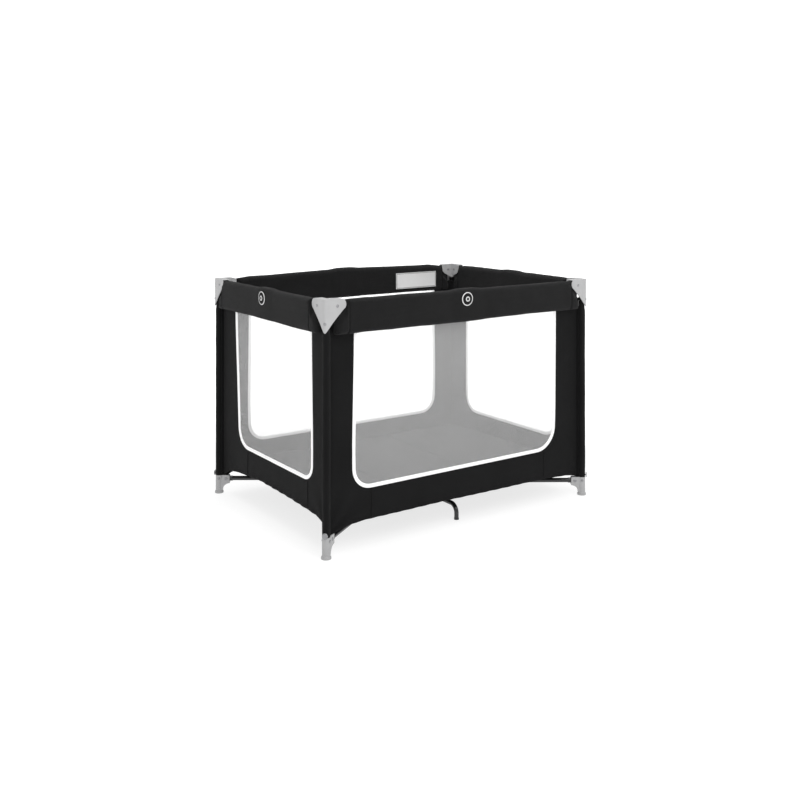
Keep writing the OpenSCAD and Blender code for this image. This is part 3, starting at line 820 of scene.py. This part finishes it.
obj = add_mesh("blank_label", label(), LABEL)
attach(obj, "rail_rear_r", RAIL_FOLD)
obj = add_mesh("label_stitch", label_stitch(), WEBBING)
attach(obj, "rail_rear_r", RAIL_FOLD)


# ---------------------------------------------------------------- post sleeves
def post_sleeve(sx, sy):
    angle = circle(40)
    uneven = waves(60 + sx + 3 * sy, 7, 1, 6)

    def ring(radius, z):
        return np.stack([sx * POST_X + radius * np.cos(angle),
                         sy * POST_Y + radius * np.sin(angle), 0 * angle + z], -1)

    outer, inner = [], []
    for z in np.linspace(0.0612, 0.7050, 90):
        radius = 0.0113 + 0.0003 * uneven(z * 4, angle / 6.28) - 0.0012 * fade(z, 0.618, 0.010)
        if z > 0.627:
            radius = np.minimum(radius, 0.0101)
        if z < 0.62:
            # slightly squared
            radius = radius * (1 + 0.05 * np.abs(np.sin(2 * angle)) ** 2)
        outer.append(ring(radius, z))
        inner.append(ring(0.00962, z))
    return slab_from_rows(outer, inner, closed=True)


for corner, signs in CORNERS.items():
    obj = add_mesh("post_sleeve_" + corner, post_sleeve(*signs), WALL_CLOTH)
    attach(obj, "post_" + corner)

# ---------------------------------------------------------------- floor sheet
# Four parts, one on each folding arm.
SHEET_X, SHEET_Y = POST_X - 0.0138, POST_Y - 0.0138
SHEET_Z = 0.0802
ARM_INSET = 0.058          # sets the arm direction: a diagonal to a point inside the posts
ARM_ANGLE = math.atan2(POST_Y - ARM_INSET, POST_X - ARM_INSET)


def sheet_z(x, y):
    """The sheet is sewn to the hem, so its edge rises with it."""
    long_hem = np.where(y < 0, hem("front", x), hem("rear", x))
    short_hem = np.where(x < 0, hem("left", y), hem("right", y))
    near_x = smoothstep(np.clip(1 - (SHEET_X - np.abs(x)) / 0.06, 0, 1))
    near_y = smoothstep(np.clip(1 - (SHEET_Y - np.abs(y)) / 0.06, 0, 1))
    z = SHEET_Z + np.maximum(near_x * (short_hem + 0.002 - SHEET_Z),
                             near_y * (long_hem + 0.002 - SHEET_Z))
    return np.clip(z, SHEET_Z, 0.113)


def floor_sheet(sx, sy):
    # from the middle outwards, denser towards the edge
    steps = np.r_[np.linspace(0, 0.84, 12), np.linspace(0.86, 1, 12)]
    x, y = np.meshgrid(SHEET_X * steps, SHEET_Y * steps, indexing="ij")
    # cut the corner back from the foot
    cut = np.clip((x / SHEET_X + y / SHEET_Y) - 1.93, 0, 1)
    x = x - cut * 0.5 * SHEET_X
    y = y - cut * 0.5 * SHEET_Y
    z = sheet_z(sx * x, sy * y) + 0.0003 * waves(90 + sx + sy, 5, 2, 8)(x, y)
    return slab(np.stack([sx * x, sy * y, z + 0.0014], -1), np.stack([sx * x, sy * y, z], -1))


for corner, (sx, sy) in CORNERS.items():
    obj = add_mesh("floor_sheet_" + corner, floor_sheet(sx, sy), WEBBING)
    across_arm = (-math.sin(ARM_ANGLE) * sx, math.cos(ARM_ANGLE) * sy, 0)
    attach(obj, "arm_" + corner,
           ("fold", across_arm, (sx * POST_X, sy * POST_Y, 0), 0.02), "floor_sheet")


# ---------------------------------------------------------------- lift strap
# Profile of the woven loop under the mattress: share of its run, x and z there.
STRAP_AT = [0, .12, .2, .8, .88, 1]
STRAP_X = [-.026, -.0338, -.0340, .0340, .0338, .026]
STRAP_Z = [.0782, .0782, .0826, .0826, .0782, .0782]
STRAP_HALF_WIDTH = 0.0122


def lift_strap():
    t = np.linspace(0, 1, 40)
    x, z = np.interp(t, STRAP_AT, STRAP_X), np.interp(t, STRAP_AT, STRAP_Z)
    top, bottom = [], []
    for k in np.linspace(-1, 1, 9):
        y = STRAP_HALF_WIDTH * k + 0 * t
        top.append(np.stack([x, y, z + 0.0011 + 0.0001 * np.cos(k * 20)], -1))
        bottom.append(np.stack([x, y, z], -1))
    return slab_from_rows(top, bottom)


obj = add_mesh("lift_strap_web", lift_strap(), WEBBING)
attach(obj, "hub", replaces="lift_strap")

# ---------------------------------------------------------------- mattress panels
PANEL_SPLIT = 0.159        # the middle panel ends here
PANEL_GAP = 0.001
PANEL_HALF_Y = POST_Y - 0.0205
PANEL_LOW, PANEL_HIGH = 0.0842, 0.1042
EDGE_RADIUS = 0.011
# name, left end, right end, wave seed
PANELS = (("left", -POST_X + 0.030, -PANEL_SPLIT - PANEL_GAP, 3),
          ("mid", -PANEL_SPLIT, PANEL_SPLIT, 17),
          ("right", PANEL_SPLIT + PANEL_GAP, POST_X - 0.020, 29))


def mattress_panel(left, right, seed):
    def dense_ends(count):
        steps = np.linspace(-1, 1, count)
        return np.sign(steps) * (1 - (1 - np.abs(steps)) ** 1.6)

    half_x = (right - left) / 2 - 0.0004
    x, y = np.meshgrid(dense_ends(44) * half_x, dense_ends(84) * PANEL_HALF_Y, indexing="ij")
    from_edge = np.minimum(half_x - np.abs(x), PANEL_HALF_Y - np.abs(y))
    edge = np.sqrt(np.clip(1 - (1 - fade(from_edge, 0, EDGE_RADIUS)) ** 2, 0, 1))
    broad, fine = waves(seed, 7, 1.0, 5.0), waves(seed + 3, 7, 5.0, 12.0)
    puff = ((0.0010 * broad(x, y) - 0.0004) * fade(from_edge, 0, 0.04)
            + 0.0005 * fine(x, y) * fade(from_edge, 0, 0.02))
    middle = (PANEL_LOW + PANEL_HIGH) / 2
    half_z = (PANEL_HIGH - PANEL_LOW) / 2 - 0.0006
    top = np.minimum(middle + half_z * edge + puff * 0.5, PANEL_HIGH + 0.0008)
    bottom = middle - half_z * edge
    # the outer edge lies up on the rising sheet
    x = (left + right) / 2 + x
    up = np.clip(sheet_z(x, y) - 0.0822, 0, 0.012)
    return slab(np.stack([x, y, top + up + 0.00005], -1),
                np.stack([x, y, bottom + up - 0.00005], -1))


for name, left, right, seed in PANELS:
    obj = add_mesh("pad_panel_" + name, mattress_panel(left, right, seed), MATTRESS_CLOTH)
    attach(obj, "mattress_" + name, replaces="mattress_" + name)

# ---------------------------------------------------------------- CAD pieces
# The first matching prefix gives the material; the rest are moulded black.
CAD_MATERIALS = ((("post_tube", "rail_"), SATIN_TUBE), (("arm_", "leg_"), GLOSS_TUBE),
                 (("cap_inner",), LIT_INNER_GREY), (("cap_", "foot_"), GREY),
                 (("rivets", "hub_pins"), RIVET))
BEVELLED = ("cap_", "foot_", "latch_", "hub_body", "hub_cover", "button_")

for name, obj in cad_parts.items():
    matches = [material for prefixes, material in CAD_MATERIALS if name.startswith(prefixes)]
    obj.data.materials.clear()
    obj.data.materials.append(matches[0] if matches else BLACK)
    if name.startswith(BEVELLED):
        bevel = obj.modifiers.new("edge", "BEVEL")
        bevel.width = 0.0007
        bevel.segments = 2
        bevel.limit_method = "ANGLE"
        bevel.angle_limit = math.radians(40)
        bevel.harden_normals = True


# ---------------------------------------------------------------- stage, light, camera
def floor_material():
    """Grey floor that glows, more strongly away from the middle: painted light that whitens
    the far floor, while the floor round the playard glows less, a painted shade.
    """
    material, tree, bsdf, _ = new_material("studio_floor")
    set_inputs(bsdf, {"Base Color": (0.33, 0.33, 0.33, 1), "Roughness": 0.9,
                      "Specular IOR Level": 0.0, "Emission Color": (1, 1, 1, 1)})
    coords = tree.nodes.new("ShaderNodeTexCoord")
    distance = tree.nodes.new("ShaderNodeVectorMath")
    distance.operation = "LENGTH"
    tree.links.new(coords.outputs["Object"], distance.inputs[0])
    # glow rises with distance from the middle: painted shade near the playard, painted light
    # farther out
    glow = tree.nodes.new("ShaderNodeMapRange")
    glow.interpolation_type = "SMOOTHSTEP"
    set_inputs(glow, {"From Min": 0.80, "From Max": 1.7, "To Min": 0.765, "To Max": 1.25})
    tree.links.new(distance.outputs["Value"], glow.inputs["Value"])
    # brighter where it is seen through the net: painted light that whitens the net windows
    light_path = tree.nodes.new("ShaderNodeLightPath")
    through = math_node(tree, "GREATER_THAN", light_path.outputs["Transparent Depth"], 0.5)
    net_painted_light = math_node(tree, "MULTIPLY", through, 0.28)
    tree.links.new(math_node(tree, "ADD", glow.outputs[0], net_painted_light),
                   bsdf.inputs["Emission Strength"])
    return material


def add_floor(half_size, z):
    mesh = bpy.data.meshes.new("studio_floor")
    signs = ((-1, -1), (1, -1), (1, 1), (-1, 1))
    mesh.from_pydata([(sx * half_size, sy * half_size, z) for sx, sy in signs], [],
                     [(0, 1, 2, 3)])
    mesh.materials.append(floor_material())
    obj = bpy.data.objects.new("studio_floor", mesh)
    bpy.context.scene.collection.objects.link(obj)


def add_world(lighting, seen):
    """White world, with one strength for lighting and one for camera rays."""
    world = bpy.data.worlds.new("studio")
    bpy.context.scene.world = world
    world.use_nodes = True
    tree = world.node_tree
    background = tree.nodes["Background"]
    background.inputs[0].default_value = (1, 1, 1, 1)
    light_path = tree.nodes.new("ShaderNodeLightPath")
    strength = tree.nodes.new("ShaderNodeMapRange")
    set_inputs(strength, {"To Min": lighting, "To Max": seen})
    tree.links.new(light_path.outputs["Is Camera Ray"], strength.inputs["Value"])
    tree.links.new(strength.outputs[0], background.inputs[1])


def add_area_light(name, location, target, size, power):
    light = bpy.data.lights.new(name, "AREA")
    light.shape = "RECTANGLE"
    light.size, light.size_y = size
    light.energy = power
    obj = bpy.data.objects.new(name, light)
    bpy.context.scene.collection.objects.link(obj)
    obj.location = location
    direction = Vector(target) - Vector(location)
    obj.rotation_euler = direction.to_track_quat("-Z", "Y").to_euler()


def add_camera(location, turn, lens, shift_y):
    """Level camera, turned about Z by `turn` degrees."""
    camera = bpy.data.cameras.new("cam")
    camera.sensor_width = 36
    camera.lens = lens
    camera.shift_y = shift_y
    camera.clip_end = 100
    obj = bpy.data.objects.new("cam", camera)
    bpy.context.scene.collection.objects.link(obj)
    obj.location = location
    obj.rotation_euler = (math.radians(90), 0, math.radians(turn))
    bpy.context.scene.camera = obj


add_floor(half_size=30, z=-0.0005)
add_world(lighting=0.72, seen=1.40)
add_area_light("key", location=(-0.5, -3.0, 3.1), target=(0, 0, 0.3), size=(2.6, 2.2),
               power=46)
add_area_light("top", location=(0.2, 0.2, 3.6), target=(0, 0, 0.2), size=(3.2, 3.2),
               power=60)
add_camera(location=(-1.9030, -2.7531, 1.0628), turn=-34.662, lens=44.69, shift_y=-0.2777)
bpy.context.scene.view_settings.view_transform = "Standard"
bpy.context.scene.view_settings.look = "None"
